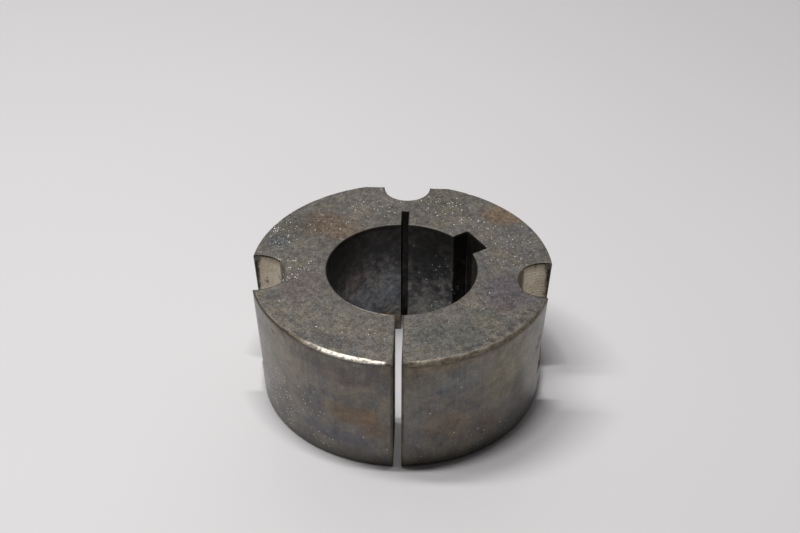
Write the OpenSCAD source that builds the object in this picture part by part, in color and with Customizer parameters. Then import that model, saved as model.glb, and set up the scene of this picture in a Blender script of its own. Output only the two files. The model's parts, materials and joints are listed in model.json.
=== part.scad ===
// Split taper bush: one solid, tapered iron sleeve that locks a hub to a shaft.
// It stands on its small end. The bore runs along +Z and the split faces -Y.
// The two screw notches are blind, and the notch opposite the split goes right through.

/* [Body] */
// Diameter of the big end
big_end_d = 69.85; // [68.5:0.05:75]
// Length of the bush along its bore
bush_length = 31.75; // [28:0.25:38]
// Included angle of the tapered outside
taper_angle = 8; // [7:0.25:8.5]
// Bevel round the rim of the big end
big_rim_bevel = 0.3; // [0.1:0.05:0.8]
// Bevel round the rim of the small end
small_rim_bevel = 0.4; // [0.1:0.05:1]
// Distance from the bore axis to the flat land across the jacking notch
land_distance = 33.4; // [33:0.1:34.2]

/* [Bore] */
// Diameter of the bore
bore_d = 34.925; // [30:0.025:36]
// Bevel at each end of the bore
bore_bevel = 0.2; // [0.1:0.05:0.6]
// Width of the keyway
key_width = 7.94; // [6:0.01:10]
// Distance from the bore axis to the floor of the keyway
key_floor = 21.1; // [19.5:0.05:22]
// Direction of the keyway, turned from +X towards +Y
key_angle = 35; // [25:1:55]

/* [Split] */
// Width of the split that opens the bush
split_width = 1.8; // [1:0.1:3]
// Angle that the saw ran off the front when it cut the split
split_lean = 0.7; // [0:0.1:1.5]
// Width of the relief slot opposite the split
relief_width = 1.6; // [1:0.1:2.5]
// Distance from the bore axis to the end of the relief slot
relief_reach = 23.05; // [20:0.05:25]

/* [Screw notches] */
// Diameter of the circle that the notch axes lie on
pitch_d = 66.675; // [65.5:0.025:67.5]
// Diameter of the two plain notches that the clamping screws push in
thrust_d = 13.1; // [11.5:0.1:13.5]
// Depth of the plain notches, without their drill points
thrust_depth = 22.2; // [18:0.1:23]
// Angle between the front, straight across from the land, and each plain notch
thrust_angle = 84.5; // [80:0.5:92]
// Diameter of the threaded notch that jacks the bush out
jack_d = 11.1; // [9.5:0.1:11.5]
// Point angle of the drill that left the blind ends
drill_point_angle = 118; // [110:1:140]

/* [Hidden] */
$fn = 128;
over = 1;
front_direction = -90;
split_direction = front_direction + split_lean;
land_direction = 90;
taper_slope = tan(taper_angle / 2);
big_r = big_end_d / 2;
bore_r = bore_d / 2;
pitch_r = pitch_d / 2;
top_z = bush_length;

// Radius of the tapered outside at a height above the small end
function cone_r(z) = big_r - (top_z - big_rim_bevel - z) * taper_slope;

// The round sleeve, bored and bevelled, before anything is cut through it
module sleeve() {
    rotate_extrude()
        polygon([
            [bore_r + bore_bevel, 0],
            [cone_r(small_rim_bevel) - small_rim_bevel, 0],
            [cone_r(small_rim_bevel), small_rim_bevel],
            [big_r, top_z - big_rim_bevel],
            [big_r - big_rim_bevel, top_z],
            [bore_r + bore_bevel, top_z],
            [bore_r, top_z - bore_bevel],
            [bore_r, bore_bevel]
        ]);
}

// A straight-sided cut along the bore, from the axis out to a given reach
module radial_cut(direction, width, reach) {
    rotate([0, 0, direction])
        translate([0, -width / 2, -over])
            cube([reach, width, top_z + 2 * over]);
}

// A blind, plain notch with the cone that the drill left at its bottom
module thrust_notch(direction) {
    point_h = (thrust_d / 2) / tan(drill_point_angle / 2);
    rotate([0, 0, direction])
        translate([pitch_r, 0, top_z - thrust_depth]) {
            cylinder(h = thrust_depth + over, d = thrust_d);
            translate([0, 0, -point_h])
                cylinder(h = point_h, d1 = 0, d2 = thrust_d);
        }
}

// The threaded notch, at the outside diameter of its thread
module jacking_notch() {
    rotate([0, 0, land_direction])
        translate([pitch_r, 0, -over])
            cylinder(h = top_z + 2 * over, d = jack_d);
}

// The flat land that is dressed across the mouth of the jacking notch
module land_cut() {
    rotate([0, 0, land_direction])
        translate([land_distance, -big_r, -over])
            cube([big_r, 2 * big_r, top_z + 2 * over]);
}

// The whole bush, which is a single piece of iron
module taper_bush() {
    color("dimgray")
        difference() {
            sleeve();
            radial_cut(split_direction, split_width, big_r + over);
            radial_cut(land_direction, relief_width, relief_reach);
            radial_cut(key_angle, key_width, key_floor);
            land_cut();
            jacking_notch();
            for (side = [-1, 1])
                thrust_notch(front_direction + side * thrust_angle);
        }
}

taper_bush();
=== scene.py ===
"""A split taper bush standing on its small end on a pale table.

The bush is one solid of iron, so it is one piece here too. Its mesh is a grid of quads wrapped round the
C-shaped section between the two faces of the split, so every edge can be rounded, worn and dented.
Lengths in this file are in millimetres until the mesh is written, in metres.
"""

import json
import math

import bpy
import numpy as np
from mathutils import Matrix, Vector


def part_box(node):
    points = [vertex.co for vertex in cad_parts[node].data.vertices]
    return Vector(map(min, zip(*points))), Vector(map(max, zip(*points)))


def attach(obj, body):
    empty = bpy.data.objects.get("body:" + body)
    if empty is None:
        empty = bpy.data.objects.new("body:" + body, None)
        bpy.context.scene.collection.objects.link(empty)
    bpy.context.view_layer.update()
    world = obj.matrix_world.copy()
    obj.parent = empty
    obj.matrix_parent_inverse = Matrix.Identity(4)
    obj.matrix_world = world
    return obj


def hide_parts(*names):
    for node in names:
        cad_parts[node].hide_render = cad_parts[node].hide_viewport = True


METRE = 0.001
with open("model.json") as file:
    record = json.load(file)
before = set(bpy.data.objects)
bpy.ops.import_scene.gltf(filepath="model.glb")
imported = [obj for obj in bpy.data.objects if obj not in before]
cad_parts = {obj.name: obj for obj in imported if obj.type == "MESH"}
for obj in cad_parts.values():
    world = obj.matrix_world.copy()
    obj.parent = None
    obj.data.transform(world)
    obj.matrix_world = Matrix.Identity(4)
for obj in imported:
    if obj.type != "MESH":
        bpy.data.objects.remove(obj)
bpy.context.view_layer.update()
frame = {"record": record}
mounts = {mount["name"]: mount for mount in frame["record"]["mounts"]}

# ---- sizes, from the frame where it states them
SPLIT_WIDTH = 1.8
RELIEF_WIDTH = 1.6
RELIEF_REACH = 23.05
KEY_WIDTH = 7.94
KEY_FLOOR = 21.1
KEY_AZIMUTH = 35.0
THRUST_RADIUS = 6.55
THRUST_DEPTH = 22.2
THRUST_SPACING = 84.5
JACK_RADIUS = 5.55
LAND_DISTANCE = 33.4
LAND_AZIMUTH = 90.0
FRONT_AZIMUTH = -90.0
SPLIT_AZIMUTH = -89.3
TAPER_ANGLE = 8.0
DRILL_POINT_ANGLE = 118.0
TAPER_SLOPE = math.tan(math.radians(TAPER_ANGLE / 2))
DRILL_POINT_SLOPE = math.tan(math.radians(90.0 - DRILL_POINT_ANGLE / 2))
TOP = (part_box("taper_bush")[1] / METRE).z
BORE_RADIUS = mounts["bore"]["dims"]["r_mm"]
BIG_RADIUS = 34.925
PITCH_RADIUS = mounts["jacking_notch"]["pos_m"][1] / METRE
THRUST_RIGHT = FRONT_AZIMUTH + THRUST_SPACING
THRUST_LEFT = FRONT_AZIMUTH + 360.0 - THRUST_SPACING

# Ribs that the clamping screws pressed into the plain notches
NOTCH_RIB_PITCH = 0.77

# Thread of the jacking notch: 14 threads to the inch, worn flat at its crests
THREAD_PITCH = 25.4 / 14
THREAD_DEPTH = 0.85
THREAD_LEAD_IN = 1.1

# Radius that each corner of the section is rounded to
THRUST_LIP = 0.3
JACK_LIP = 0.25
SPLIT_LIP = 0.3
KEY_LIP, KEY_ROOT = 0.22, 0.25
RELIEF_LIP, RELIEF_ROOT = 0.15, 0.2

# ---- outlines of one level, in millimetres

# Points along the parts of an outline, and the turn in radians beyond which a corner gets no more points
POINTS_PER_DEGREE = 8
LINE_POINTS = 60
ARC_POINTS = 200
SHARPEST_TURN = 0.5


def surface_radius(azimuth, z):
    """Radius of the outside at azimuths (degrees) and a height: the cone, or the land if that is nearer."""
    cone = BIG_RADIUS - (TOP - z) * TAPER_SLOPE
    from_land = np.radians(np.asarray(azimuth, float) - LAND_AZIMUTH)
    across = np.cos(from_land)
    land = np.where(across > 0.5, LAND_DISTANCE / np.maximum(across, 0.5), np.inf)
    return np.minimum(cone, land)


def polar(radius, azimuth):
    """Points at a radius and azimuth (degrees), as an array of x and y."""
    turned = np.radians(azimuth)
    return np.stack([radius * np.cos(turned), radius * np.sin(turned)], axis=-1)


def surface_path(start, end, z):
    """The outside between two azimuths."""
    azimuth = np.linspace(start, end, max(3, int(abs(end - start) * POINTS_PER_DEGREE)))
    return polar(surface_radius(azimuth, z), azimuth)


def bore_path(start, end):
    """The bore wall between two azimuths."""
    azimuth = np.linspace(start, end, max(3, int(abs(end - start) * POINTS_PER_DEGREE)))
    return polar(np.full_like(azimuth, BORE_RADIUS), azimuth)


def line_path(start, end):
    return np.linspace(start, end, LINE_POINTS)


def lengths(path):
    """Distance along a path at each of its points."""
    return np.concatenate([[0.0], np.cumsum(np.hypot(*np.diff(path, axis=0).T))])


def cut_ends(path, at_start, at_end):
    """The path without a stretch at each end."""
    along = lengths(path)
    keep = np.linspace(at_start, along[-1] - at_end, len(path))
    return np.stack([np.interp(keep, along, path[:, axis]) for axis in (0, 1)], axis=-1)


def rounded(paths, radii):
    """One path from several that meet end to end, with each corner between them rounded."""
    step = np.linspace(0, 1, 14)[1:-1, None]
    trims = [0.0, *radii, 0.0]
    joined = []
    for number, path in enumerate(paths):
        room = lengths(path)[-1] * 0.45
        start, end = min(trims[number], room), min(trims[number + 1], room)
        trimmed = cut_ends(path, start, end)
        if number:
            a, b, c = joined[-1][-1], path[0], trimmed[0]
            joined.append((1 - step) ** 2 * a + 2 * step * (1 - step) * b + step ** 2 * c)
        joined.append(trimmed)
    return np.concatenate(joined)


def spread(path, count, turn_length=2.4):
    """The path as count + 1 points, closer together where it turns.

    turn_length is the length that a turn of one radian is worth.
    """
    steps = np.diff(path, axis=0)
    size = np.hypot(*steps.T)
    keep = np.concatenate([[True], size > 1e-7])
    path = path[keep]
    steps = np.diff(path, axis=0)
    heading = np.unwrap(np.arctan2(steps[:, 1], steps[:, 0]))
    turn = np.minimum(np.abs(np.diff(heading, prepend=heading[0])), SHARPEST_TURN)
    cost = np.concatenate([[0.0], np.cumsum(np.hypot(*steps.T) + turn_length * turn)])
    at = np.linspace(0, cost[-1], count + 1)
    return np.stack([np.interp(at, cost, path[:, axis]) for axis in (0, 1)], axis=-1)


def half_mouth(azimuth, radius, z):
    """Half of the angle that a notch takes from the outside at a height, or None where it takes nothing."""
    offset = np.linspace(0, 25, 2501)
    reach = polar(surface_radius(azimuth + offset, z), azimuth + offset)
    distance = np.hypot(*(reach - polar(PITCH_RADIUS, azimuth)).T)
    outside = distance >= radius
    if outside[0]:
        return None
    return float(offset[np.argmax(outside)])


def notch_arc(azimuth, radius, mouth, z):
    """The notch's wall from one lip to the other, round its inner side."""
    centre = polar(PITCH_RADIUS, azimuth)
    lips = [polar(float(surface_radius(lip, z)), lip) for lip in (azimuth - mouth, azimuth + mouth)]
    first, last = (math.atan2(*(lip - centre)[::-1]) for lip in lips)
    while last > first:
        last -= 2 * math.pi
    angle = np.linspace(first, last, ARC_POINTS)
    wall = np.hypot(*(lips[0] - centre))
    return centre + np.stack([wall * np.cos(angle), wall * np.sin(angle)], axis=-1)


def outside_sector(start, end, z, notch, radius, lip):
    """The outside between two azimuths, cut by a notch of this radius if that reaches it."""
    mouth = half_mouth(notch, radius, z)
    if not mouth:
        return surface_path(start, end, z)
    paths = [
        surface_path(start, notch - mouth, z),
        notch_arc(notch, radius, mouth, z),
        surface_path(notch + mouth, end, z),
    ]
    return rounded(paths, [lip, lip])


def slot_in_bore(start, end, azimuth, width, reach, lip, root):
    """The bore wall between two azimuths, with a square slot cut outwards from it."""
    half = width / 2
    along = polar(1.0, azimuth)
    across = polar(1.0, azimuth + 90)
    mouth = math.degrees(math.asin(half / BORE_RADIUS))
    near = math.sqrt(BORE_RADIUS ** 2 - half ** 2)
    corners = [near * along - half * across, reach * along - half * across,
               reach * along + half * across, near * along + half * across]
    paths = [bore_path(start, azimuth - mouth)]
    paths += [line_path(a, b) for a, b in zip(corners, corners[1:])]
    paths += [bore_path(azimuth + mouth, end)]
    return rounded(paths, [lip, root, root, lip])


# Sectors of the section: first and last azimuth, quads along it, what is cut into its outside and its bore
SECTORS = [
    (None, -21, 62, None, None),
    (-21, 11, 58, "thrust", None),
    (11, 18, 8, None, None),
    (18, 52, 58, None, "keyway"),
    (52, 70, 18, None, None),
    (70, 110, 84, "jack", "relief"),
    (110, 169, 58, None, None),
    (169, 201, 58, "thrust", None),
    (201, None, 62, None, None),
]
STATIONS = sum(sector[2] for sector in SECTORS)
FACE_STEPS = 30


def split_ends(radius):
    """Azimuths just past the rounded lips of the split, on a wall of this radius."""
    half = math.degrees(math.asin((SPLIT_WIDTH / 2) / radius)) + math.degrees(2 * SPLIT_LIP / radius)
    return SPLIT_AZIMUTH + half, SPLIT_AZIMUTH + 360 - half


def thrust_radius(z):
    """Radius of the plain notches at a height, which is negative below their drill points."""
    floor = TOP - THRUST_DEPTH
    return THRUST_RADIUS if z >= floor else THRUST_RADIUS - (floor - z) / DRILL_POINT_SLOPE


def outline(ends, draw):
    """A wall from one face of the split round to the other, whose sectors are drawn one by one."""
    points = []
    for start, end, count, outer_cut, inner_cut in SECTORS:
        start = ends[0] if start is None else start
        end = ends[1] if end is None else end
        path = draw(start, end, outer_cut, inner_cut)
        points.append(spread(path, count)[:-1])
    points.append(path[-1:])
    return np.concatenate(points)


def outer_outline(z):
    """The outside with its notches, at a height."""
    def draw(start, end, cut, _):
        if cut == "thrust":
            notch = THRUST_RIGHT if start < LAND_AZIMUTH else THRUST_LEFT
            return outside_sector(start, end, z, notch, thrust_radius(z), THRUST_LIP)
        if cut == "jack":
            return outside_sector(start, end, z, LAND_AZIMUTH, JACK_RADIUS, JACK_LIP)
        return surface_path(start, end, z)

    return outline(split_ends(float(surface_radius(SPLIT_AZIMUTH, z))), draw)


def inner_outline():
    """The bore with its keyway and relief slot."""
    def draw(start, end, _, cut):
        if cut == "keyway":
            return slot_in_bore(start, end, KEY_AZIMUTH, KEY_WIDTH, KEY_FLOOR, KEY_LIP, KEY_ROOT)
        if cut == "relief":
            size = (RELIEF_WIDTH, RELIEF_REACH, RELIEF_LIP, RELIEF_ROOT)
            return slot_in_bore(start, end, LAND_AZIMUTH, *size)
        return bore_path(start, end)

    return outline(split_ends(BORE_RADIUS), draw)


def split_face(side, z):
    """One face of the split, from the outside in. side is 1 for the face towards +X."""
    outside = float(surface_radius(SPLIT_AZIMUTH, z))
    index = 0 if side > 0 else 1
    middle = SPLIT_AZIMUTH if side > 0 else SPLIT_AZIMUTH + 360
    outer, inner = (
        middle + side * math.degrees(math.asin(SPLIT_WIDTH / 2 / radius)) for radius in (outside, BORE_RADIUS)
    )
    paths = [
        surface_path(split_ends(outside)[index], outer, z),
        line_path(polar(outside, outer), polar(BORE_RADIUS, inner)),
        bore_path(inner, split_ends(BORE_RADIUS)[index]),
    ]
    return spread(rounded(paths, [SPLIT_LIP, SPLIT_LIP]), FACE_STEPS, turn_length=1.2)


# ---- levels from the table up

RIM_BEVEL = 0.3
SMALL_END_BEVEL = 0.45
SMALL_END_EDGE = 0.2
WALL_STEP = 0.26
BEVEL_STEPS = np.linspace(0, 1, 8)

# Height above the small end's bevel and depth below the top face at which the evenly spaced levels stop
WALL_START = 0.12
WALL_END = 1.5

# Share of a corner's radius that a bevel may take, and how fast the bevel widens again away from the corner
CORNER_SHARE = 0.75
BEVEL_WIDENING = 0.7

# Turn in radians below which a loop counts as straight, and the room that a bevel has there
STRAIGHT = 1e-4
AMPLE_ROOM = 50.0

# Bevels of the top edges, and what wear adds to the rim's drop and inset to the right and left of the split
SHARP_EDGE = 0.18
RUBBED_BORE_EDGE = 0.34
RIM_EDGE = 0.3
RIGHT_WEAR = (0.8, 0.9)
LEFT_WEAR = (0.35, 0.75)

# Times that the points of the end faces are evened, so that few faces are left folded beside a notch
CAP_PASSES = 200
UNFOLD_PASSES = 60

# How far inside the outside's surface a point has to be to belong to a notch
NOTCH_GAP = 0.35


def loop_at(z, inner):
    """The closed section at a height: outside, left split face, bore backwards, right split face."""
    outer = outer_outline(z)
    left = split_face(-1, z)
    right = split_face(1, z)
    return np.concatenate([outer, left[1:-1], inner[::-1], right[::-1][1:-1]])


def inward(loop):
    """Unit normals of a closed anticlockwise loop, pointing into the iron."""
    ahead = np.roll(loop, -1, axis=0) - loop
    behind = loop - np.roll(loop, 1, axis=0)
    ahead /= np.maximum(np.hypot(*ahead.T), 1e-9)[:, None]
    behind /= np.maximum(np.hypot(*behind.T), 1e-9)[:, None]
    along = ahead + behind
    along /= np.maximum(np.hypot(*along.T), 1e-9)[:, None]
    return np.stack([-along[:, 1], along[:, 0]], axis=-1)


def smooth_step(value, start, end):
    t = np.clip((value - start) / (end - start), 0, 1)
    return t * t * (3 - 2 * t)


def wavering(azimuth, seed, waves):
    """A repeatable irregular wave round the bush, from -1 to 1."""
    rng = np.random.default_rng(seed)
    total = np.zeros_like(azimuth)
    for wave in waves:
        total += rng.uniform(0.4, 1.0) * np.sin(wave * np.radians(azimuth) + rng.uniform(0, 2 * math.pi))
    return total / len(waves)


def in_notch(loop, z, part):
    """Which points of a loop are on a notch's wall, and not on the cone."""
    azimuth = np.degrees(np.arctan2(loop[:, 1], loop[:, 0]))
    return (part == "outer") & (np.hypot(*loop.T) < surface_radius(azimuth, z) - NOTCH_GAP)


def evened(values, window=9):
    """Values round a closed loop, averaged over their neighbours."""
    return sum(np.roll(values, shift) for shift in range(-window, window + 1)) / (2 * window + 1)


def room_inwards(loop):
    """How far each point can move into the iron before its neighbours cross at a sharp corner."""
    ahead = np.roll(loop, -1, axis=0) - loop
    size = np.hypot(*ahead.T)
    heading = np.arctan2(ahead[:, 1], ahead[:, 0])
    turn = (heading - np.roll(heading, 1) + math.pi) % (2 * math.pi) - math.pi
    radius = (size + np.roll(size, 1)) / 2 / np.maximum(turn, STRAIGHT)
    room = np.where(turn > STRAIGHT, CORNER_SHARE * radius, AMPLE_ROOM)
    for _ in range(2):
        for i in range(len(room)):
            room[i] = min(room[i], room[i - 1] + BEVEL_WIDENING * size[i - 1])
        for i in range(len(room) - 2, -2, -1):
            room[i] = min(room[i], room[i + 1] + BEVEL_WIDENING * size[i])
    return room


def fitted(loop, drop, inset):
    """The drop and inset of a bevel, made smaller where a sharp corner has no room for them."""
    share = np.minimum(1.0, room_inwards(loop) / inset)
    return drop * share, inset * share


def top_wear(loop, part):
    """Drop and inset of the worn top edge: wide and blunt at the front right, flattened at the front left."""
    azimuth = np.degrees(np.arctan2(loop[:, 1], loop[:, 0]))
    from_split = np.abs(azimuth - SPLIT_AZIMUTH)
    from_split = np.minimum(from_split, 360 - from_split)
    right = (1 - smooth_step(from_split, 58, 76)) * (1 - 0.45 * smooth_step(from_split, 5, 58))
    left = 1 - smooth_step(from_split, 30, 60)
    sizes = (
        RIM_EDGE + np.where(loop[:, 0] > 0, on_right * right, on_left * left)
        for on_right, on_left in zip(RIGHT_WEAR, LEFT_WEAR)
    )
    ragged = 1 + 0.2 * wavering(azimuth, 4, (5, 9, 14, 23, 37, 61))
    plain = (part != "outer") | in_notch(loop, TOP, part)
    rubbed = (part == "inner") & (loop[:, 0] < -1) & (from_split < 55)
    plain_size = np.where(rubbed, RUBBED_BORE_EDGE, SHARP_EDGE)
    return fitted(loop, *(evened(np.where(plain, plain_size, size * ragged)) for size in sizes))


def part_names():
    """Which wall each point of a loop is on."""
    wall = STATIONS + 1
    face = ["split"] * (FACE_STEPS - 1)
    return np.array(["outer"] * wall + face + ["inner"] * wall + face)


def thread_offset(loop, z, part):
    """How far the thread's crests stand in from the wall of the jacking notch, at each point of a loop."""
    centre = polar(PITCH_RADIUS, LAND_AZIMUTH)
    away = loop - centre
    distance = np.hypot(*away.T)
    angle = np.arctan2(away[:, 1], away[:, 0])
    turns = z / THREAD_PITCH + angle / (2 * math.pi)
    crest = np.abs(2 * (turns - np.floor(turns)) - 1)
    crest = smooth_step(crest, 0.12, 0.8)
    depth = THREAD_DEPTH * smooth_step(TOP - z, 0.3, THREAD_LEAD_IN) * smooth_step(z, 0.3, THREAD_LEAD_IN)
    on_wall = (part == "outer") & (distance < JACK_RADIUS + 0.02) & (away[:, 1] < 1.0)
    fade = 1 - smooth_step(away[:, 1], -1.4, 0.2)
    shift = np.where(on_wall, -depth * crest * fade / np.maximum(distance, 1e-6), 0)
    return away * shift[:, None]


def bevel(drop, inset, step, softness):
    """How far in a bevel is, and how far below its top, at a step from its foot (0) to its top (1).

    softness is 1 for a quarter round and 0 for a flat chamfer.
    """
    angle = step * math.pi / 2
    into = inset * (softness * (1 - math.cos(angle)) + (1 - softness) * step)
    down = drop * (softness * (1 - math.sin(angle)) + (1 - softness) * (1 - step))
    return into, down


def wall_heights():
    """Heights of the straight walls, close enough together to carry the thread and the drill points."""
    start, end = SMALL_END_BEVEL + WALL_START, TOP - WALL_END
    count = int(round((end - start) / WALL_STEP))
    return np.linspace(start, end, count + 1)


def unfolded(ring, base):
    """The ring with its points evened wherever it runs backwards against the loop it was moved from."""
    along = np.roll(base, -1, axis=0) - base
    least = 0.1 * (along**2).sum(axis=1)
    for _ in range(UNFOLD_PASSES):
        ahead = np.roll(ring, -1, axis=0) - ring
        folded = (ahead * along).sum(axis=1) < least
        near = folded | np.roll(folded, 1) | np.roll(folded, -1) | np.roll(folded, 2)
        middle = (np.roll(ring, 1, axis=0) + np.roll(ring, -1, axis=0)) / 2
        ring = np.where(near[:, None], (ring + middle) / 2, ring)
    return ring


def build_levels():
    """Every level from the table up, as arrays of x, y and z."""
    inner = inner_outline()
    part = part_names()
    levels = []
    foot = loop_at(SMALL_END_BEVEL, inner)
    foot_size = evened(np.where(part == "outer", SMALL_END_BEVEL, SMALL_END_EDGE))
    foot_drop, foot_inset = fitted(foot, foot_size, foot_size)
    for step in BEVEL_STEPS[::-1]:
        inset, height = bevel(foot_drop, foot_inset, step, 0.9)
        xy = unfolded(foot + inward(foot) * inset[:, None], foot)
        levels.append(np.column_stack([xy, height]))
    for z in wall_heights():
        loop = loop_at(z, inner)
        loop = loop + thread_offset(loop, z, part)
        levels.append(np.column_stack([loop, np.full(len(loop), z)]))
    rim = loop_at(TOP - RIM_BEVEL, inner)
    rim_drop, rim_inset = top_wear(rim, part)
    on_cone = (part == "outer") & ~in_notch(rim, TOP, part)
    outward = rim / np.hypot(*rim.T)[:, None]
    for step in BEVEL_STEPS:
        inset, drop = bevel(rim_drop, rim_inset, step, 0.4)
        taper = np.where(on_cone, (RIM_BEVEL - drop) * TAPER_SLOPE, 0)
        xy = unfolded(rim + inward(rim) * inset[:, None] + outward * taper[:, None], rim)
        levels.append(np.column_stack([xy, TOP - drop]))
    return levels, part


def ring_parts(ring):
    """The outside, left split face, bore and right split face of a ring, in an end face's directions."""
    left_start = STATIONS + 1
    inner_start = left_start + FACE_STEPS - 1
    right_start = inner_start + STATIONS + 1
    outer, left = ring[:left_start], ring[left_start:inner_start]
    return outer, left, ring[inner_start:right_start][::-1], ring[right_start:][::-1]


def cap_points(level):
    """Points between the outside and the bore on the top or bottom face, as rows of stations."""
    outer, left, inner, right = ring_parts(level)
    along = lengths(np.concatenate([outer[:1], right, inner[:1]])[:, :2])
    share = (along / along[-1])[1:-1]
    rows = outer[:, None] * (1 - share[None, :, None]) + inner[:, None] * share[None, :, None]
    rows[0] = right
    rows[-1] = left
    for _ in range(CAP_PASSES):
        grid = np.concatenate([outer[:, None], rows, inner[:, None]], axis=1)
        rows[1:-1] = (grid[:-2, 1:-1] + grid[2:, 1:-1] + grid[1:-1, :-2] + grid[1:-1, 2:]) / 4
    return rows


# Dents in the top rim and the side: azimuth, height below the top face, radius and depth
NICKS = [
    (-122, 0.3, 1.6, 0.35), (-136, 0.8, 1.3, 0.45),
    (-143, 3.2, 1.3, 0.3), (-101, 0.2, 1.1, 0.25),
    (-84, 0.2, 1.2, 0.4), (-71, 0.3, 1.5, 0.3),
    (-60, 0.2, 1.4, 0.35), (-52, 0.3, 1.2, 0.3),
    (-44, 0.4, 1.6, 0.35), (-21.5, 9.5, 1.7, 0.55),
    (-23, 11.5, 1.4, 0.4), (64, 0.1, 0.9, 0.12),
    (128, 0.2, 0.8, 0.1), (151, 0.3, 0.9, 0.12),
]


# Shallow pits along the inside of the worn front right rim: azimuth, distance from the axis and depth
PITS = [
    (-61, 33, 0.16), (-56.5, 32.7, 0.2),
    (-50.5, 33.1, 0.22), (-46, 32.6, 0.16),
    (-41, 33, 0.24), (-37.5, 32.4, 0.2),
    (-33, 32.9, 0.24), (-29.5, 32.3, 0.18),
    (-26, 32.8, 0.2),
]
PIT_RADIUS = 0.75


def dent(points):
    """Pushes the points near each nick in towards the axis and down, and those near each pit down."""
    moved = points.copy()
    for azimuth, radius, depth in PITS:
        centre = np.append(polar(radius, azimuth), TOP)
        away = np.linalg.norm(points - centre, axis=1)
        moved[:, 2] -= depth * (1 - smooth_step(away, 0, PIT_RADIUS))
    for azimuth, below, radius, depth in NICKS:
        z = TOP - below
        centre = np.append(polar(float(surface_radius(azimuth, z)), azimuth), z)
        away = np.linalg.norm(points - centre, axis=1)
        push = depth * (1 - smooth_step(away, 0, radius))
        towards = -np.append(polar(0.8, azimuth), 0.6 if below < 2 else 0.0)
        moved += push[:, None] * towards
    return moved


FACE, SEAT, BORE, SAWN, NOTCH, EDGE = range(6)

# How far inside the outside's surface a wall quad has to be to look like a notch, in the top edge and below
NOTCH_LOOK_AT_TOP = 1.6
NOTCH_LOOK_BELOW = 0.3


def wall_kind(centre, part, level, last):
    """The finish of a wall quad, from where its middle is."""
    if part == "split":
        return SAWN
    at_top = level > last - len(BEVEL_STEPS)
    if part == "inner":
        return EDGE if at_top and math.hypot(centre[0], centre[1]) < BORE_RADIUS + 0.3 else BORE
    azimuth = math.degrees(math.atan2(centre[1], centre[0]))
    gap = float(surface_radius(azimuth, min(centre[2], TOP))) - math.hypot(centre[0], centre[1])
    if gap > NOTCH_LOOK_AT_TOP or (gap > NOTCH_LOOK_BELOW and level < last - len(BEVEL_STEPS)):
        return NOTCH
    return EDGE if at_top else SEAT


def build_mesh():
    """The bush as one closed mesh of quads, with a finish for each."""
    levels, part = build_levels()
    ring = len(levels[0])
    points = list(np.concatenate(levels))
    quads, kinds = [], []
    last = len(levels) - 1
    for j in range(last):
        for i in range(ring):
            n = (i + 1) % ring
            quad = (j * ring + i, j * ring + n, (j + 1) * ring + n, (j + 1) * ring + i)
            centre = sum(points[number] for number in quad) / 4
            wall = "split" if "split" in (part[i], part[n]) else part[i]
            quads.append(quad)
            kinds.append(wall_kind(centre, wall, j, last))
    for level, upward in ((0, False), (last, True)):
        rows = cap_points(levels[level])
        grid = np.zeros((STATIONS + 1, FACE_STEPS + 1), int)
        numbers = np.arange(level * ring, (level + 1) * ring)
        grid[:, 0], grid[-1, 1:-1], grid[:, -1], grid[0, 1:-1] = ring_parts(numbers)
        for i in range(1, STATIONS):
            for k in range(1, FACE_STEPS):
                grid[i, k] = len(points)
                points.append(rows[i, k - 1])
        for i in range(STATIONS):
            for k in range(FACE_STEPS):
                quad = (grid[i, k], grid[i, k + 1], grid[i + 1, k + 1], grid[i + 1, k])
                quads.append(quad[::-1] if upward else quad)
                kinds.append(FACE)
    return dent(np.array(points)), quads, kinds


# ---- node helpers


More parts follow.
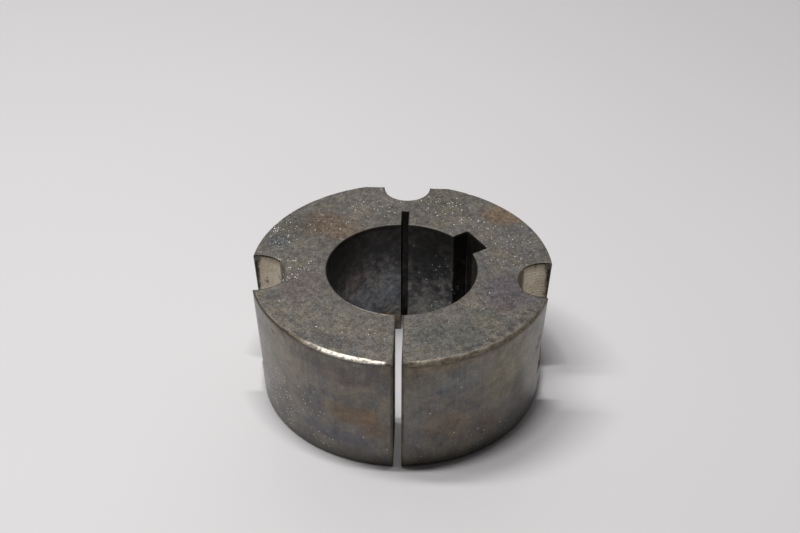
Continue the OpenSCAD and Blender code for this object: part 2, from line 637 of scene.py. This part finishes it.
class Shader:
    """A material's node tree, with short ways to make the nodes that the finishes share."""

    def __init__(self, name):
        self.material = bpy.data.materials.new(name)
        self.material.use_nodes = True
        self.tree = self.material.node_tree
        self.tree.nodes.clear()
        output = self.make("ShaderNodeOutputMaterial")
        self.bsdf = self.make("ShaderNodeBsdfPrincipled")
        self.link(self.bsdf.outputs["BSDF"], output.inputs["Surface"])
        place = self.make("ShaderNodeTexCoord")
        scale = self.make("ShaderNodeVectorMath", operation="SCALE")
        self.feed(scale, {0: place.outputs["Object"], "Scale": 1 / METRE})
        self.place = scale.outputs[0]
        apart = self.make("ShaderNodeSeparateXYZ")
        self.link(self.place, apart.inputs[0])
        self.x, self.y, self.z = apart.outputs

    def make(self, kind, **settings):
        node = self.tree.nodes.new(kind)
        for key, value in settings.items():
            setattr(node, key, value)
        return node

    def link(self, source, target):
        self.tree.links.new(source, target)

    def feed(self, node, values):
        """Links or sets a node's sockets, which values maps by name or number to a source or a constant."""
        for key, value in values.items():
            if isinstance(value, bpy.types.NodeSocket):
                self.link(value, node.inputs[key])
            else:
                node.inputs[key].default_value = value

    def math(self, operation, a, b=0.0, c=0.0):
        node = self.make("ShaderNodeMath", operation=operation)
        self.feed(node, {0: a, 1: b, 2: c})
        return node.outputs[0]

    def times(self, a, b):
        return self.math("MULTIPLY", a, b)

    def plus(self, a, b):
        return self.math("ADD", a, b)

    def minus(self, a, b):
        return self.math("SUBTRACT", a, b)

    def rest(self, share):
        """What a share leaves of 1."""
        return self.math("SUBTRACT", 1.0, share)

    def most(self, a, b):
        return self.math("MAXIMUM", a, b)

    def join(self, x, y, z):
        node = self.make("ShaderNodeCombineXYZ")
        self.feed(node, {"X": x, "Y": y, "Z": z})
        return node.outputs[0]

    def noise(self, size, detail=4.0, rough=0.55, bend=0.0, where=None, shift=0.0):
        """Noise from 0 to 1 whose features are about size millimetres across."""
        node = self.make("ShaderNodeTexNoise", noise_dimensions="4D")
        self.feed(node, {"Vector": where or self.place, "W": shift, "Scale": 1 / size})
        self.feed(node, {"Detail": detail, "Roughness": rough, "Distortion": bend})
        return node.outputs["Fac"]

    def cells(self, size):
        """Distance to the middle of the nearest cell, and the cell's random colour."""
        node = self.make("ShaderNodeTexVoronoi")
        self.feed(node, {"Vector": self.place, "Scale": 1 / size})
        return node.outputs["Distance"], node.outputs["Color"]

    def between(self, value, low_end, high_end):
        """0 below low_end, 1 above high_end, smooth between them."""
        node = self.make("ShaderNodeMapRange", interpolation_type="SMOOTHSTEP")
        self.feed(node, {"Value": value, "From Min": low_end, "From Max": high_end})
        return node.outputs["Result"]

    def patches(self, low_end, high_end, *size_and_shape, **more):
        """Noise turned into patches of 0 and 1, with a soft edge where the noise is between the two ends."""
        return self.between(self.noise(*size_and_shape, **more), low_end, high_end)

    def mix(self, share, a, b, mode="MIX"):
        node = self.make("ShaderNodeMix", data_type="RGBA", blend_type=mode)
        a, b = (end if isinstance(end, bpy.types.NodeSocket) else (*end, 1) for end in (a, b))
        self.feed(node, {0: share, 6: a, 7: b})
        return node.outputs[2]

    def tint(self, colour, share, strength, over):
        """The colour with another over it, as thick as the share times the strength."""
        return self.mix(self.times(share, strength), colour, over)

    def shade(self, colour, share, dark, light):
        """The colour multiplied by a factor that goes from dark to light."""
        return self.mix(1.0, colour, self.mix(share, dark, light), "MULTIPLY")

    def level(self, share, a, b):
        """A number that goes from a to b."""
        node = self.make("ShaderNodeMapRange")
        self.feed(node, {"Value": share, "To Min": a, "To Max": b})
        return node.outputs["Result"]

    def stain(self, place, ragged, centre, half_size):
        """1 inside an ellipse, fading to 0 across its edge, which the ragged noise bends."""
        away = self.make("ShaderNodeVectorMath", operation="SUBTRACT")
        self.feed(away, {0: place, 1: centre})
        scaled = self.make("ShaderNodeVectorMath", operation="DIVIDE")
        self.feed(scaled, {0: away.outputs[0], 1: half_size})
        size = self.make("ShaderNodeVectorMath", operation="LENGTH")
        self.feed(size, {0: scaled.outputs[0]})
        bent = self.plus(size.outputs["Value"], ragged)
        return self.rest(self.between(bent, 0.45, 1.2))

    def stains(self, colour, place, ragged, rows):
        """The colour with each row's stain on it: centre, half size, stain colour and strength."""
        for centre, half_size, stain_colour, strength in rows:
            colour = self.tint(colour, self.stain(place, ragged, centre, half_size), strength, stain_colour)
        return colour

    def thickest(self, place, ragged, rows):
        """The largest of several stains, each worth its own strength."""
        total = 0.0
        for centre, half_size, strength in rows:
            share = self.times(self.stain(place, ragged, centre, half_size), strength)
            total = self.most(total, share)
        return total

    def ragged(self, size, amount, shift):
        """Noise either side of zero, to bend the edges of stains."""
        return self.times(self.minus(self.noise(size, 5.0, 0.65, shift=shift), 0.5), amount)

    def bump(self, height, depth, after=None):
        """A bump of this depth in millimetres."""
        node = self.make("ShaderNodeBump")
        self.feed(node, {"Height": height, "Distance": depth * METRE})
        if after is not None:
            self.link(after, node.inputs["Normal"])
        return node.outputs["Normal"]

    def finish(self, colour, metal, rough, normal):
        self.feed(self.bsdf, {"Base Color": colour, "Metallic": metal, "Roughness": rough, "Normal": normal})
        return self.material


def round_place(s):
    """Distance round the bush from its front, and distance from its axis."""
    azimuth = s.math("ARCTAN2", s.x, s.times(s.y, -1.0))
    around = s.times(azimuth, BIG_RADIUS)
    radius = s.math("SQRT", s.plus(s.times(s.x, s.x), s.times(s.y, s.y)))
    return around, radius


def painted_glints(s, amount):
    """Painted glints: tiny near-white dots that stand in for light glinting off the grains, as a share from 0
    to 1. amount is the share of the cells that hold one.
    """
    distance, colour = s.cells(0.45)
    pick = s.make("ShaderNodeSeparateColor")
    s.link(colour, pick.inputs[0])
    chosen = s.math("LESS_THAN", pick.outputs[0], amount)
    grain_radius = s.level(pick.outputs[1], 0.1, 0.33)
    small = s.math("LESS_THAN", distance, grain_radius)
    return s.times(chosen, small)


def patina(s, tones, shift, size=9.0):
    """Iron darkened by oil and heat: large cool and warm areas with thin tints of purple, green and blue."""
    cool, warm, *tints = tones
    colour = s.mix(s.patches(0.38, 0.62, size, 3.0, 0.5, 0.8, shift=shift), cool, warm)
    for number, tint in enumerate(tints):
        spread_out = s.noise(size * (0.55 + 0.1 * number), 3.0, 0.55, 1.2, shift=shift + 3 + 4 * number)
        colour = s.tint(colour, s.between(spread_out, 0.5, 0.66), 0.6, tint)
    return colour


# ---- finishes

RUST = (0.125, 0.082, 0.05)
BARE = (0.55, 0.51, 0.45)
# Near-white colour of the painted glints, which stand in for light glinting off the grains
GLINT_WHITE = (0.93, 0.92, 0.9)


def grained(s, colour, size, strength, shift):
    """The colour with light and dark grain of a fine casting, and the grain itself."""
    grain = s.noise(size, 4, 0.75, shift=shift)
    dark = tuple(1 - 0.55 * strength for _ in range(3))
    light = tuple(1 + 1.05 * strength for _ in range(3))
    return s.shade(colour, s.between(grain, 0.32, 0.68), dark, light), grain


# Half size of a stain in a direction in which it has no edge
FAR = 900


def on_ends(rows):
    """Rows whose centre and half size are given in x and y, as stains that have no edge in z."""
    return [((x, y, 0), (half_x, half_y, FAR), *rest) for (x, y), (half_x, half_y), *rest in rows]


def on_side(rows):
    """Rows whose centre and half size are given round the side and in z, as stains on the unrolled side."""
    return [((x, 0, z), (half_x, FAR, half_z), *rest) for (x, z), (half_x, half_z), *rest in rows]


# Stains on the flat ends: centre, half size, colour and strength. The rows of painted glints have no colour.
FACE_STAINS = [
    ((-19.5, 16.5), (7.5, 6.5), (0.142, 0.098, 0.07), 0.75),
    ((-13.5, 13.5), (4.5, 3.5), (0.178, 0.126, 0.082), 0.5),
    ((24.5, 23), (6.5, 4.5), (0.2, 0.128, 0.074), 0.6),
    ((-29.5, 9.5), (3.2, 2.6), (0.078, 0.094, 0.104), 0.75),
    ((-25.5, 15.5), (4.5, 6), (0.085, 0.082, 0.066), 0.55),
    ((-23, -7.5), (6, 6.5), (0.142, 0.115, 0.118), 0.6),
    ((-14, -22), (9, 5), (0.165, 0.152, 0.128), 0.5),
    ((-17.5, -27), (7, 2.5), (0.09, 0.086, 0.09), 0.55),
    ((23.5, -8.5), (6.5, 7.5), (0.1, 0.086, 0.1), 0.68),
    ((12, -24), (9, 6), (0.088, 0.093, 0.089), 0.6),
    ((19, -19), (5, 4), (0.125, 0.118, 0.09), 0.45),
    ((9.5, 27.5), (5.5, 4.5), (0.128, 0.12, 0.086), 0.55),
    ((-7, 28), (8.5, 4), (0.175, 0.16, 0.148), 0.55),
    ((27.5, 12), (5, 7), (0.128, 0.126, 0.128), 0.5),
]
# Patches of denser painted glints on the flat ends: centre, half size and share of cells
FACE_GLINT_PATCHES = [
    ((-28.5, 13), (5.5, 8), 0.4),
    ((-26.5, -1.5), (6.5, 6.5), 0.36),
    ((-6, 24.5), (9, 4.5), 0.2),
    ((9, 25.5), (8, 5), 0.26),
    ((15.5, 18.5), (6, 3.5), 0.28),
    ((26, 8), (7, 9), 0.2),
    ((-19, 17), (8, 6), 0.12),
    ((-6, -23), (4.5, 3), 0.05),
]


def scratches(s, turn, shift):
    """Thin straight scratches that run at an angle (degrees) across the flat ends."""
    cos, sin = math.cos(math.radians(turn)), math.sin(math.radians(turn))
    along = s.plus(s.times(s.x, 0.07 * cos), s.times(s.y, 0.07 * sin))
    across = s.minus(s.times(s.y, cos), s.times(s.x, sin))
    return s.noise(0.35, 2, 0.5, where=s.join(along, across, 0), shift=shift)


def face_finish():
    """The flat ends: dull mottled iron with stains, scratches, painted glints and faint turning marks."""
    s = Shader("iron_face")
    around, radius = round_place(s)
    ragged = s.ragged(5, 1.5, 21)
    tones = ((0.132, 0.125, 0.118), (0.168, 0.149, 0.124), (0.142, 0.119, 0.122), (0.144, 0.14, 0.108),
             (0.113, 0.117, 0.121))
    colour = patina(s, tones, 1, 5)
    colour = s.stains(colour, s.place, ragged, on_ends(FACE_STAINS))
    blotches = s.patches(0.36, 0.66, 1.3, 4, 0.65, 0.4, shift=5)
    colour = s.shade(colour, blotches, (0.74, 0.735, 0.73), (1.25, 1.24, 1.21))
    for azimuth, distance, _ in PITS:
        centre = (*(float(value) for value in polar(distance, azimuth)), 0)
        pit = s.stain(s.place, ragged, centre, (1, 0.8, FAR))
        colour = s.tint(colour, pit, 0.65, (0.055, 0.048, 0.042))
    colour, grain = grained(s, colour, 0.34, 0.78, 2)
    for turn, shift in ((32, 25), (-58, 26)):
        lines = s.between(scratches(s, turn, shift), 0.58, 0.7)
        patch = s.patches(0.48, 0.6, 6, 2, 0.5, shift=shift + 4)
        colour = s.tint(colour, s.times(lines, patch), 0.4, (0.27, 0.255, 0.235))
    flecks = s.patches(0.62, 0.7, 0.55, 3, 0.7, shift=6)
    colour = s.tint(colour, flecks, 0.55, (0.04, 0.036, 0.03))
    # Painted glints: near-white dots that stand in for light glinting off the grains
    amount = s.plus(s.thickest(s.place, ragged, on_ends(FACE_GLINT_PATCHES)), 0.006)
    glints = painted_glints(s, amount)
    colour = s.mix(glints, colour, GLINT_WHITE)
    # Bare metal worn along the bore rim left of the split, painted lighter to stand in for the highlight
    # along that rim
    at_rim = s.rest(s.between(radius, BORE_RADIUS + 0.45, BORE_RADIUS + 0.7))
    left = s.times(around, -1)
    rubbed = s.times(s.between(left, 3.6, 6), s.rest(s.between(left, 16, 30)))
    rubbed = s.times(s.times(rubbed, at_rim), s.patches(0.36, 0.5, 0.9, shift=28))
    colour = s.tint(colour, rubbed, 0.75, BARE)
    rings = s.noise(0.5, 2, 0.5, where=s.join(s.times(around, 0.01), radius, 0), shift=8)
    height = s.plus(s.times(grain, 0.75), s.times(rings, 0.25))
    normal = s.bump(height, 0.06)
    normal = s.bump(s.noise(5, 3, 0.5, shift=9), 0.12, normal)
    metal = s.level(s.most(flecks, glints), 0.72, 0.1)
    return s.finish(colour, metal, s.level(grain, 0.42, 0.62), normal)


# Stains on the tapered side, whose centres are distance round from the split, and height
SEAT_STAINS = [
    ((-10, 14.5), (8, 3.2), (0.185, 0.122, 0.072), 0.7),
    ((-5, 11.5), (4, 4), (0.165, 0.108, 0.07), 0.55),
    ((-11.5, 26.5), (10, 3.5), (0.122, 0.1, 0.102), 0.6),
    ((-15.5, 7), (12, 2.2), (0.104, 0.105, 0.128), 0.75),
    ((-20.5, 15.5), (3.5, 4.5), (0.085, 0.088, 0.098), 0.65),
    ((-31, 23), (8, 9), (0.225, 0.204, 0.156), 0.7),
    ((-34, 8), (6, 6), (0.11, 0.104, 0.096), 0.55),
    ((12, 12), (7, 4.5), (0.16, 0.112, 0.078), 0.6),
    ((5.5, 26.5), (6, 3.5), (0.145, 0.135, 0.1), 0.6),
    ((15, 24), (7, 4.5), (0.135, 0.145, 0.155), 0.6),
    ((4, 14), (3.5, 8), (0.122, 0.126, 0.13), 0.5),
    ((29, 22), (8.5, 10), (0.192, 0.174, 0.118), 0.75),
    ((22, 9), (5.5, 4), (0.135, 0.1, 0.088), 0.55),
    ((33, 14), (3, 8), (0.085, 0.078, 0.062), 0.55),
    ((8, 30), (13, 1.7), (0.185, 0.145, 0.098), 0.7),
]
# Patches of denser painted glints on the tapered side: centre, half size and share of cells
SEAT_GLINT_PATCHES = [
    ((-33, 10), (8, 10), 0.32),
    ((-22, 14), (5, 5), 0.16),
    ((-19, 3.5), (6, 2.5), 0.14),
    ((24, 4), (8, 4), 0.1),
    ((62, 18), (14, 9), 0.05),
    ((-78, 14), (12, 9), 0.06),
]


def seat_finish():
    """The tapered side: ground iron, stained in bands, with upright streaks and a dark foot."""
    s = Shader("iron_taper_seat")
    around, _ = round_place(s)
    unrolled = s.join(around, 0, s.z)
    ragged = s.ragged(4.5, 1.5, 44)
    tones = ((0.142, 0.135, 0.128), (0.176, 0.156, 0.128), (0.145, 0.121, 0.128), (0.15, 0.148, 0.11),
             (0.108, 0.118, 0.131))
    colour = patina(s, tones, 40, 7)
    colour = s.stains(colour, unrolled, ragged, on_side(SEAT_STAINS))
    streaks = s.noise(0.8, 4, 0.6, where=s.join(around, 0, s.times(s.z, 0.1)), shift=3)
    high_up = s.level(s.between(s.z, TOP - 20, TOP - 3), 0.45, 1)
    streakiness = s.times(high_up, 0.5)
    colour = s.tint(colour, s.between(streaks, 0.52, 0.68), streakiness, (0.23, 0.208, 0.17))
    colour = s.tint(colour, s.between(streaks, 0.44, 0.3), streakiness, (0.08, 0.074, 0.066))
    blotches = s.patches(0.36, 0.66, 1.6, 4, 0.6, 0.4, shift=15)
    colour = s.shade(colour, blotches, (0.86, 0.855, 0.85), (1.09, 1.085, 1.07))
    clouds = s.patches(0.36, 0.64, 5.5, 3, 0.5, 0.6, shift=18)
    colour = s.shade(colour, clouds, (0.8, 0.8, 0.81), (1.1, 1.09, 1.07))
    colour, grain = grained(s, colour, 0.34, 0.32, 12)
    flecks = s.patches(0.64, 0.72, 0.6, 3, 0.7, shift=16)
    colour = s.tint(colour, flecks, 0.5, (0.045, 0.04, 0.034))
    wander = s.times(s.noise(5, shift=17), 3)
    foot = s.rest(s.between(s.plus(s.z, wander), 1.5, 7))
    colour = s.tint(colour, foot, 0.6, (0.066, 0.054, 0.045))
    # Painted glints: near-white dots that stand in for light glinting off the grains
    amount = s.plus(s.thickest(unrolled, ragged, on_side(SEAT_GLINT_PATCHES)), 0.004)
    glints = painted_glints(s, amount)
    colour = s.mix(glints, colour, GLINT_WHITE)
    lines = s.noise(0.22, 2, 0.5, where=s.join(s.times(around, 0.02), 0, s.z), shift=19)
    height = s.plus(s.times(grain, 0.6), s.times(lines, 0.4))
    normal = s.bump(height, 0.03)
    normal = s.bump(s.noise(7, 3, 0.5, where=unrolled, shift=20), 0.12, normal)
    metal = s.level(s.most(s.most(flecks, foot), glints), 0.75, 0.3)
    s.feed(s.bsdf, {"Coat Weight": 0.25, "Coat Roughness": 0.3})
    return s.finish(colour, metal, s.level(s.noise(3, 3, shift=23), 0.3, 0.5), normal)


# Stains in the bore, whose centres and half sizes are x, y and z. The pale bluish rows low in the bore are a
# painted reflection of the lit table inside it.
BORE_STAINS = [
    ((-9, 14, 10), (5, 6, 6), (0.145, 0.157, 0.177), 0.65),
    ((-14, 9, 25), (8, 9, 8), (0.048, 0.044, 0.04), 0.6),
    ((-3.5, 17, 14), (3, 3, 6), (0.22, 0.235, 0.26), 0.55),
    ((5, 16.5, 22), (6.5, 5, 8), (0.03, 0.03, 0.032), 0.8),
    ((5.5, 16.5, 7), (5, 4, 4.5), (0.2, 0.205, 0.185), 0.6),
    ((-4.5, 17, 3), (5, 4, 3), (0.185, 0.125, 0.07), 0.7),
    ((-11.5, 12.5, 18), (3.5, 3.5, 3.5), (0.155, 0.105, 0.098), 0.55),
    ((17, 4, 20), (3, 6, 11), (0.3, 0.24, 0.17), 0.6),
]
# Patches of denser painted glints in the bore: centre, half size and share of cells
BORE_GLINT_PATCHES = [
    ((9, 14.5, 16), (6, 5, 9), 0.2),
    ((17, 4, 18), (3, 6, 12), 0.3),
]


def bore_finish():
    """The bore, keyway and slot: oily dark iron with turning marks, with painted shade high up and in the
    keyway and slot, paler low down where a reflection of the lit table is painted in, and rusty by the foot.
    """
    s = Shader("iron_bore")
    around, radius = round_place(s)
    ragged = s.ragged(3, 1.6, 67)
    mottle = s.patches(0.4, 0.62, 2.6, 5, 0.65, 0.7, shift=60)
    colour = s.mix(mottle, (0.06, 0.062, 0.068), (0.2, 0.19, 0.178))
    colour = s.stains(colour, s.place, ragged, BORE_STAINS)
    blotches = s.patches(0.38, 0.62, 1.7, 5, 0.7, 0.4, shift=68)
    colour = s.shade(colour, blotches, (0.62, 0.62, 0.64), (1.3, 1.3, 1.28))
    spots = s.patches(0.56, 0.66, 0.9, 4, 0.65, shift=61)
    colour = s.tint(colour, spots, 0.7, (0.038, 0.032, 0.028))
    # Painted shade: the bore darkens towards its top edge
    painted_top_shade = s.between(s.plus(s.z, s.times(s.noise(5, shift=63), 8)), TOP - 12, TOP + 2)
    colour = s.tint(colour, painted_top_shade, 0.7, (0.045, 0.042, 0.038))
    # Painted shade: the keyway and the relief slot, out past the bore's wall, are painted near black
    outward = s.between(radius, BORE_RADIUS + 0.1, BORE_RADIUS + 0.8)
    colour = s.tint(colour, outward, 0.75, (0.03, 0.026, 0.022))
    # Painted glints: near-white dots that stand in for light glinting off the grains
    amount = s.plus(s.thickest(s.place, ragged, BORE_GLINT_PATCHES), 0.003)
    glints = painted_glints(s, amount)
    colour = s.mix(glints, colour, GLINT_WHITE)
    lines = s.noise(0.3, 2, 0.5, where=s.join(s.times(around, 0.02), 0, s.z), shift=64)
    normal = s.bump(lines, 0.02)
    normal = s.bump(s.noise(2, 4, 0.6, shift=65), 0.04, normal)
    metal = s.level(s.most(spots, glints), 0.7, 0.1)
    return s.finish(colour, metal, s.level(s.noise(2.5, 3, shift=66), 0.32, 0.5), normal)


def sawn_finish():
    """The faces of the split: brown sawn iron with upright saw marks."""
    s = Shader("iron_sawn")
    marks = s.noise(0.35, 3, 0.6, where=s.join(0, s.y, s.times(s.z, 0.05)), shift=80)
    colour = s.mix(s.between(marks, 0.4, 0.65), (0.09, 0.075, 0.06), (0.17, 0.145, 0.115))
    rust = s.patches(0.52, 0.65, 3.5, 4, 0.6, shift=81)
    colour = s.tint(colour, rust, 0.6, RUST)
    normal = s.bump(marks, 0.05)
    return s.finish(colour, s.level(rust, 0.7, 0.2), s.level(marks, 0.45, 0.6), normal)


# Angle round a plain notch that is well inside the part that its screw polished
POLISHED_ANGLE = 65


def notch_angle(s):
    """Angle round a plain notch's axis from the direction of the bore, in degrees without its sign.

    The two plain notches mirror each other, so one side serves both. The jacking notch is polished all over.
    """
    axis_x, axis_y = (float(value) for value in polar(PITCH_RADIUS, THRUST_RIGHT))
    inward_x, inward_y = -axis_x / PITCH_RADIUS, -axis_y / PITCH_RADIUS
    away_x = s.minus(s.math("ABSOLUTE", s.x), axis_x)
    away_y = s.minus(s.y, axis_y)
    along = s.plus(s.times(away_x, inward_x), s.times(away_y, inward_y))
    across = s.minus(s.times(away_x, inward_y), s.times(away_y, inward_x))
    angle = s.times(s.math("ARCTAN2", s.math("ABSOLUTE", across), along), 180 / math.pi)
    plain = s.math("GREATER_THAN", s.math("ABSOLUTE", s.x), 2 * JACK_RADIUS)
    return s.math("MULTIPLY_ADD", plain, s.minus(angle, POLISHED_ANGLE), POLISHED_ANGLE)


def notch_finish():
    """The screw notches: iron that the screws polished on each side, dark and speckled at the back, with
    painted shade under the top edge and a near-black strip of painted shade at the lips.
    """
    s = Shader("iron_notch")
    wave = s.math("SINE", s.times(s.plus(s.z, s.noise(1.5, shift=93)), 2 * math.pi / NOTCH_RIB_PITCH))
    prints = s.math("MULTIPLY_ADD", wave, 0.5, 0.5)
    grain = s.noise(0.4, 4, 0.7, shift=90)
    clouds = s.patches(0.4, 0.62, 3, 4, 0.6, shift=91)
    colour = s.mix(clouds, (0.42, 0.365, 0.285), (0.49, 0.445, 0.365))
    colour = s.shade(colour, s.between(grain, 0.35, 0.65), (0.78, 0.77, 0.75), (1.1, 1.1, 1.1))
    print_depth = s.level(s.between(s.x, -5, 5), 0.15, 0.45)
    colour = s.tint(colour, prints, print_depth, (0.2, 0.15, 0.095))
    stain = s.patches(0.6, 0.7, 1.6, 4, 0.6, shift=92)
    colour = s.tint(colour, stain, 0.5, (0.12, 0.09, 0.06))
    angle = s.plus(notch_angle(s), s.ragged(1.2, 14, 96))
    back = s.rest(s.between(angle, 30, 38))
    speckled, _ = grained(s, (0.085, 0.072, 0.056), 0.5, 0.9, 97)
    colour = s.tint(colour, back, 0.8, speckled)
    lip = s.between(angle, 84, 92)
    # Brown painted shade on the notch wall just under the top edge
    shade_under_rim = s.between(s.plus(s.z, s.ragged(1.5, 3, 98)), TOP - 2.2, TOP - 0.6)
    colour = s.tint(colour, shade_under_rim, 0.5, (0.13, 0.1, 0.07))
    # Near-black painted shade on the wall beyond the notch's axis, which faces into the notch
    colour = s.tint(colour, lip, 0.97, (0.026, 0.017, 0.011))
    # Painted glints at the back of the notches: near-white dots for light glinting off the grains
    colour = s.mix(painted_glints(s, s.level(back, 0.006, 0.12)), colour, GLINT_WHITE)
    normal = s.bump(prints, 0.012)
    normal = s.bump(grain, 0.012, normal)
    plain = s.most(s.most(stain, back), lip)
    return s.finish(colour, s.level(plain, 0.95, 0.1), s.level(plain, 0.25, 0.6), normal)


def edge_finish():
    """The worn rim: bright bare metal at the front left, tan on the right, dark elsewhere."""
    s = Shader("iron_worn_edge")
    around, radius = round_place(s)
    clouds = s.patches(0.38, 0.62, 1.6, 4, 0.6, shift=100)
    tan = s.mix(clouds, (0.15, 0.125, 0.092), (0.245, 0.21, 0.165))
    left = s.times(around, -1)
    bright = s.times(s.between(left, 1.4, 3), s.rest(s.between(left, 15, 25)))
    broken = s.patches(0.34, 0.52, 0.9, 4, 0.7, shift=101)
    outer_rim = s.level(s.between(radius, BORE_RADIUS + 2, BORE_RADIUS + 6), 0.85, 1)
    worn = s.times(s.times(bright, broken), outer_rim)
    far_left = s.between(left, 14, 24)
    colour = s.mix(far_left, tan, (0.105, 0.082, 0.058))
    back = s.between(s.math("ABSOLUTE", around), 48, 58)
    colour = s.mix(back, colour, (0.1, 0.092, 0.08))
    colour = s.mix(worn, colour, BARE)
    corner = s.times(s.between(left, 0.6, 0.9), s.rest(s.between(left, 1.9, 2.6)))
    colour = s.tint(colour, corner, 0.85, (0.045, 0.036, 0.028))
    colour, _ = grained(s, colour, 0.4, 0.35, 103)
    normal = s.bump(s.noise(0.6, 5, 0.7, shift=102), 0.1)
    return s.finish(colour, s.level(worn, 0.6, 0.9), 0.5, normal)


def table_finish():
    """A pale, slightly glossy table top."""
    s = Shader("pale_table")
    tone = s.patches(0.3, 0.7, 220, 2, 0.5, shift=110)
    colour = s.mix(tone, (0.73, 0.715, 0.722), (0.75, 0.735, 0.742))
    normal = s.bump(s.noise(3, 2, 0.5, shift=111), 0.002)
    return s.finish(colour, 0, s.level(tone, 0.3, 0.36), normal)


# ---- pieces, stage, camera and light


def add_object(name, data):
    added = bpy.data.objects.new(name, data)
    bpy.context.scene.collection.objects.link(added)
    return added


def add_mesh(name, points, quads, kinds, materials):
    mesh = bpy.data.meshes.new(name)
    mesh.from_pydata([tuple(point) for point in points * METRE], [], quads)
    for material in materials:
        mesh.materials.append(material)
    mesh.polygons.foreach_set("material_index", kinds)
    mesh.polygons.foreach_set("use_smooth", [True] * len(quads))
    mesh.validate()
    mesh.update()
    return add_object(name, mesh)


def make_bush():
    points, quads, kinds = build_mesh()
    finishes = [face_finish(), seat_finish(), bore_finish(), sawn_finish(), notch_finish(), edge_finish()]
    bush = add_mesh("bush", points, quads, kinds, finishes)
    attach(bush, "root")
    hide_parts("taper_bush")


TABLE_HALF_SIZE = 1600.0


def make_table():
    grid = np.linspace(-TABLE_HALF_SIZE, TABLE_HALF_SIZE, 3)
    points = np.array([(x, y, 0.0) for y in grid for x in grid])
    quads = [(r * 3 + c, r * 3 + c + 1, r * 3 + c + 4, r * 3 + c + 3) for r in range(2) for c in range(2)]
    table = add_mesh("table", points, quads, [0] * len(quads), [table_finish()])


# Angles in degrees, distances and the focal length in millimetres
CAMERA_AZIMUTH = 2.23
CAMERA_ELEVATION = 36.39
CAMERA_DISTANCE = 413.4
CAMERA_ROLL = 0.24
AIM_HEIGHT = 0.45
AIM_SIDE = -0.41
FOCAL_LENGTH = 80.7


def make_camera():
    """The camera looks at the middle of the big end from the front, a little to the right."""
    turn, lift = math.radians(CAMERA_AZIMUTH), math.radians(CAMERA_ELEVATION)
    back = Vector((math.sin(turn) * math.cos(lift), -math.cos(turn) * math.cos(lift), math.sin(lift)))
    side = Vector((math.cos(turn), math.sin(turn), 0))
    aim = side * AIM_SIDE + Vector((0, 0, TOP + AIM_HEIGHT))
    data = bpy.data.cameras.new("camera")
    data.lens = FOCAL_LENGTH
    data.sensor_width = 36.0
    data.clip_start = 0.01
    camera = add_object("camera", data)
    camera.location = (aim + back * CAMERA_DISTANCE) * METRE
    camera.rotation_euler = back.to_track_quat("Z", "Y").to_euler()
    camera.rotation_euler.rotate_axis("Z", math.radians(CAMERA_ROLL))
    bpy.context.scene.camera = camera


def add_area(name, place, aim, size, power, colour):
    data = bpy.data.lights.new(name, "AREA")
    data.shape = "RECTANGLE"
    data.size, data.size_y = size
    data.energy = power
    data.color = colour
    light = add_object(name, data)
    light.location = place
    light.rotation_euler = (Vector(place) - Vector(aim)).to_track_quat("Z", "Y").to_euler()


# Two tubes side by side in one overhead lamp: place and size are shares of its height, and power is in watts.
# The front tube's right part is the brightest.
LAMP_HEIGHT = 0.6
TUBES = [
    ("front_tube_right", (-0.02, -0.07), (0.2, 0.022), 1.28),
    ("front_tube_left", (-0.35, -0.073), (0.42, 0.045), 0.48),
    ("rear_tube", (-0.33, 0.041), (0.46, 0.07), 1.62),
]

# Strength of the room's light from the front and the back, and how far back (0 to 1) one turns into the other
ROOM_FRONT = 0.045
ROOM_BACK = 0.6
FRONT_ENDS = 0.15
BACK_STARTS = 0.85


def make_world():
    """A pale room that is lighter behind the bush than behind the camera."""
    world = bpy.data.worlds.new("pale_room")
    world.use_nodes = True
    tree = world.node_tree
    background = tree.nodes["Background"]
    background.inputs["Color"].default_value = (1.0, 0.99, 0.985, 1)
    direction = tree.nodes.new("ShaderNodeTexCoord")
    apart = tree.nodes.new("ShaderNodeSeparateXYZ")
    strength = tree.nodes.new("ShaderNodeMapRange")
    tree.links.new(direction.outputs["Generated"], apart.inputs[0])
    tree.links.new(apart.outputs["Y"], strength.inputs["Value"])
    strength.inputs["From Min"].default_value = FRONT_ENDS
    strength.inputs["From Max"].default_value = BACK_STARTS
    strength.inputs["To Min"].default_value = ROOM_FRONT
    strength.inputs["To Max"].default_value = ROOM_BACK
    tree.links.new(strength.outputs["Result"], background.inputs["Strength"])
    bpy.context.scene.world = world


def make_light():
    """Two tubes overhead, running left and right and set off to the left, in the pale room."""
    for name, (across, back), (length, width), power in TUBES:
        place = (across * LAMP_HEIGHT, back * LAMP_HEIGHT, LAMP_HEIGHT)
        size = (length * LAMP_HEIGHT, width * LAMP_HEIGHT)
        add_area(name, place, (place[0], place[1], 0), size, power, (1.0, 0.995, 0.99))
    make_world()
    bpy.context.scene.view_settings.view_transform = "Standard"


make_camera()
make_light()
make_table()
make_bush()
